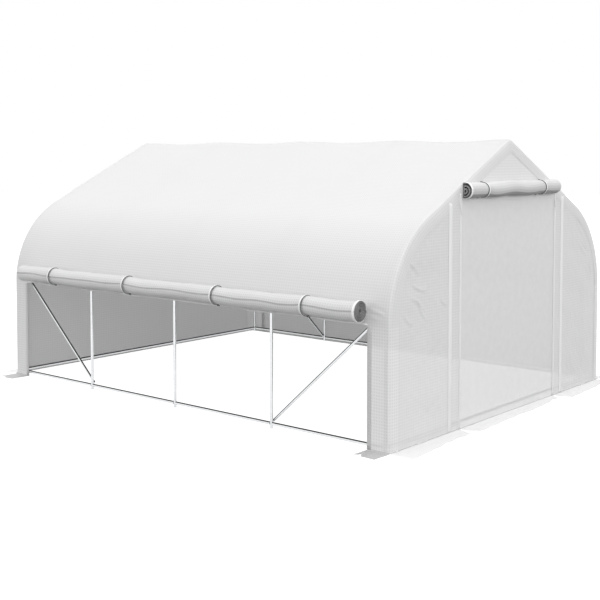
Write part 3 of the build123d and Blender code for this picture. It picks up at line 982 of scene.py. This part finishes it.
def upright_band(x, y, foot, top, width, thickness):
    """A flat upright band on the front gable, eased up over the edge of the rim."""
    z = even_steps([foot, top], grid_step)
    path = np.stack([np.full_like(z, x), y + rim_recess(x, z), z], axis=-1)
    return webbing(path, (0.0, -1.0, 0.0), (1.0, 0.0, 0.0), width, thickness)


def make_zips():
    """The zips at the door's edges and the doubled seams outside them, sewn down over the rim."""
    tapes, chains, seams, sliders = [], [], [], []
    face = -half_length - 0.4 * MM
    foot, rim_lap = 2 * MM, 45 * MM
    chain_face, slider_face, pull_face = face - 1.2 * MM, face - 3.5 * MM, face - 6 * MM
    slider_z = door_roll_low.z - 60 * MM
    for side in (-1, 1):
        zip_x, seam_x = side * door_edge, side * (door_edge + seam_outset)
        top, seam_top = (float(gable_edge(x)) + rim_lap for x in (zip_x, seam_x))
        tapes.append(upright_band(zip_x, face, foot, top, zip_width, zip_thickness))
        chains.append(upright_band(zip_x, chain_face, foot, top, chain_width, chain_thickness))
        seams.append(upright_band(seam_x, face, foot, seam_top, seam_width, seam_thickness))
        sliders.append(upright_band(zip_x, slider_face, slider_z - slider_length / 2,
                                    slider_z + slider_length / 2, slider_width,
                                    slider_thickness))
        sliders.append(upright_band(zip_x + 1 * MM, pull_face, slider_z - pull_length, slider_z,
                                    pull_width, pull_thickness))
    bands = make_piece("door_zips", seam_tape, tapes)
    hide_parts("door_zips")
    make_piece("zip_chains", seam_tape, chains)
    make_piece("door_seams", seam_tape, seams)
    make_piece("zip_sliders", white_nylon, sliders)


# Skirts on the ground

def ground_flap(start, end, out, reach, flare, taper, notch, seed):
    """A flap along a wall's foot: a soft bend, then a rucked lap on the ground.

    flare moves the two ends of its outer edge along the wall, taper makes it deeper at its start
    than at its end, and notch cuts a swallow tail into it.
    """
    upstand, bend_radius = 3 * MM, 6 * MM
    ground_gap, ruck_height = 1.0 * MM, 5 * MM
    ruck_limit, waver, fray = 1.4, 0.06, 0.02
    notch_place, notch_width = 0.2, 0.14
    flap_step, turn_rows, lap_rows = 12 * MM, 6, 14
    start, end, out = (np.array([*place, 0.0]) for place in (start, end, out))
    run = end - start
    length = np.linalg.norm(run)
    share = even_steps([0.0, 1.0], flap_step / length)[:, None]
    turn = np.linspace(0, math.pi / 2, turn_rows)
    lap = np.linspace(0, 1, lap_rows)[1:]
    away = np.concatenate([[0.0], bend_radius * (1 - np.cos(turn)), bend_radius + 0 * lap])
    rise = np.concatenate([[upstand + bend_radius], bend_radius * (1 - np.sin(turn)), 0 * lap])
    lap = np.concatenate([np.zeros(1 + len(turn)), lap])[None, :]
    edge = 1 + waver * ripple(0.9, seed, share * length)
    edge = edge + fray * ripple(0.15, seed + 1, share * length) + taper * (0.5 - share)
    edge = edge - notch * ease(notch_width - np.abs(share - notch_place), notch_width)
    away = away[None, :] + lap * (reach - bend_radius) * edge
    place = share * length + lap * (flare[0] * (share - 1) + flare[1] * share)
    lumps = 0.5 + 0.5 * ripple(0.16, seed + 2, place, away)
    height = rise[None, :] + ground_gap + np.clip(lumps, 0, ruck_limit) * lap * ruck_height
    points = (start + (place / length)[..., None] * run + away[..., None] * out
              + height[..., None] * up)
    across = run_length(np.stack([away.mean(axis=0), rise], axis=-1))
    cut = np.stack(np.broadcast_arrays(share * length, across[None, :]), axis=-1)
    return film(points, cut), (length, float(across[-1]))


def make_skirt(name, nodes, finish, flaps):
    """The flaps along one side of the tunnel as one piece."""
    shapes = [ground_flap(*flap) for flap in flaps]
    skirt = make_piece(name, finish, [shape for shape, size in shapes])
    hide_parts(*nodes)


def make_skirts():
    """All the flaps that lie on the ground round the tunnel.

    Each has its start, end, way out, reach, flare, taper, notch and seed.
    """
    front, rear = -half_length - 1 * MM, half_length + 1 * MM
    left, right = -half_width - 1 * MM, curtain_high.x + 1 * MM
    corner, side_corner = half_width - 4 * MM, half_length - 4 * MM
    make_skirt("front_skirt_flaps", ["front_skirt"], skirt_film, [
        ((-corner, front), (-door_edge, front), (0, -1), skirt_reach * 0.95,
         (10 * MM, -45 * MM), 0.35, 0.0, 81),
        ((-door_edge, front), (door_edge, front), (0, -1), skirt_reach * 0.75,
         (-40 * MM, -40 * MM), 0.5, 0.0, 84),
        ((door_edge, front), (corner, front), (0, -1), skirt_reach * 0.85,
         (-45 * MM, 20 * MM), 0.3, 0.0, 87)])
    make_skirt("rear_skirt_flap", ["rear_skirt"], skirt_film, [
        ((corner, rear), (-corner, rear), (0, 1), skirt_reach * 0.9,
         (20 * MM, 20 * MM), 0.0, 0.0, 91)])
    make_skirt("left_skirt_flaps", ["left_skirts"], doubled_film, [
        ((left, -strip_edge), (left, -side_corner), (-1, 0), skirt_reach,
         (0.0, 0.0), -0.1, 0.3, 94),
        ((left, side_corner), (left, strip_edge), (-1, 0), skirt_reach * 1.1,
         (0.0, 0.0), 0.0, 0.3, 97)])
    make_skirt("right_skirt_flap", ["right_skirt"], skirt_film, [
        ((right, -side_corner), (right, side_corner), (1, 0), skirt_reach * 0.85,
         (20 * MM, 20 * MM), 0.0, 0.0, 101)])


# Steel frame

def finish_frame():
    """Every tube of the frame in galvanised steel."""
    tubes = ("hoop_", "ridge_", "left_side_rail", "right_side_rail", "left_base_rail",
             "right_base_rail", "front_base_rail", "rear_base_rail")
    for name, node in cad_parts.items():
        if name.startswith(tubes) or name.endswith("_brace"):
            node.data.materials.clear()
            node.data.materials.append(brace_steel if name.endswith("front_brace") else steel)


finish_frame()
make_cover()
make_hems()
make_gable_panel("left", -1, left_folds, 21)
make_gable_panel("right", 1, right_folds, 22)
make_gable_top()
make_rear_gable()
make_door_net()
make_right_curtain()
make_side_roll()
make_door_roll()
make_straps()
make_zips()
make_skirts()


# Studio

def make_floor():
    """A wide pale floor, lit from below like a light table, which is not part of the tunnel.

    Its glow shows to the eye and in gloss only, so that it does not light the tunnel's inside.
    """
    seen_glow, mirrored_glow, reach = 0.95, 0.8, 40.0
    finish, tree = start_finish("pale_studio_floor")
    rays = add_node(tree, "LightPath")
    matt = add_node(tree, "BsdfDiffuse", {"Color": linear("#909090")})
    in_gloss = add_node(tree, "Math", {1: mirrored_glow}, {0: rays.outputs["Is Glossy Ray"]},
                        operation="MULTIPLY")
    strength = add_node(tree, "Math", {1: seen_glow},
                        {0: rays.outputs["Is Camera Ray"], 2: in_gloss.outputs[0]},
                        operation="MULTIPLY_ADD")
    glow = add_node(tree, "Emission", {"Color": linear("#FFFFFF")},
                    {"Strength": strength.outputs[0]})
    face = add_node(tree, "AddShader", None, {0: matt.outputs[0], 1: glow.outputs[0]})
    add_node(tree, "OutputMaterial", None, {"Surface": face.outputs[0]})
    corners = [(-reach, -reach, 0), (reach, -reach, 0), (reach, reach, 0), (-reach, reach, 0)]
    mesh = bpy.data.meshes.new("studio_floor")
    mesh.from_pydata(corners, [], [(0, 1, 2, 3)])
    mesh.materials.append(finish)
    floor = bpy.data.objects.new("studio_floor", mesh)
    bpy.context.collection.objects.link(floor)


def make_lights():
    """A soft sky, a white backdrop for the eye, and wide soft lights overhead and in front."""
    scene = bpy.context.scene
    scene.view_settings.view_transform = "Standard"
    sky = bpy.data.worlds.new("studio_sky")
    sky.use_nodes = True
    tree = sky.node_tree
    tree.nodes.clear()
    rays = add_node(tree, "LightPath")
    soft = add_node(tree, "Background", {"Color": linear("#FFFFFF"), "Strength": 1.38})
    # Bright steel mirrors the room: white in front and on the left, a dark wall on the right.
    right_wall = (0.87, -0.5, 0.0)
    heading = add_node(tree, "TexCoord")
    rightward = add_node(tree, "VectorMath", {1: right_wall}, {0: heading.outputs["Generated"]},
                         operation="DOT_PRODUCT")
    walls = add_node(tree, "ValToRGB", None, {"Fac": rightward.outputs["Value"]},
                     [(0.3, "#FFFFFF"), (0.5, "#0C0C0C")])
    mirrored = add_node(tree, "Background", {"Strength": 1.3}, {"Color": walls.outputs["Color"]})
    backdrop = add_node(tree, "Background", {"Color": linear("#FFFFFF"), "Strength": 1.0})
    unseen = add_node(tree, "MixShader", None, {0: rays.outputs["Is Glossy Ray"],
                                                1: soft.outputs[0], 2: mirrored.outputs[0]})
    air = add_node(tree, "MixShader", None, {0: rays.outputs["Is Camera Ray"],
                                             1: unseen.outputs[0], 2: backdrop.outputs[0]})
    add_node(tree, "OutputWorld", None, {"Surface": air.outputs[0]})
    scene.world = sky
    target = Vector((0.0, 0.0, 1.0))
    for name, place, size, power in (("overhead_softbox", (-1.5, -1.5, 8.0), 12.0, 40.0),
                                     ("front_softbox", (-0.5, -13.0, 6.5), 5.0, 200.0)):
        lamp = bpy.data.lights.new(name, "AREA")
        lamp.size = size
        lamp.energy = power
        softbox = bpy.data.objects.new(name, lamp)
        softbox.location = place
        aim = target - softbox.location
        softbox.rotation_euler = aim.to_track_quat("-Z", "Y").to_euler()
        bpy.context.collection.objects.link(softbox)


def make_camera():
    """The camera at the photograph's place, level across and tipped a little down."""
    lens = bpy.data.cameras.new("photo_camera")
    lens.sensor_width = 36.0
    lens.lens = 64.73
    lens.shift_y = -0.1475
    camera = bpy.data.objects.new("photo_camera", lens)
    camera.location = (-6.9713, -5.8469, 1.8805)
    heading, tip = 0.8700, math.radians(3)
    camera.rotation_euler = (math.pi / 2 - tip, 0, -heading)
    bpy.context.collection.objects.link(camera)
    bpy.context.scene.camera = camera


make_floor()
make_lights()
make_camera()
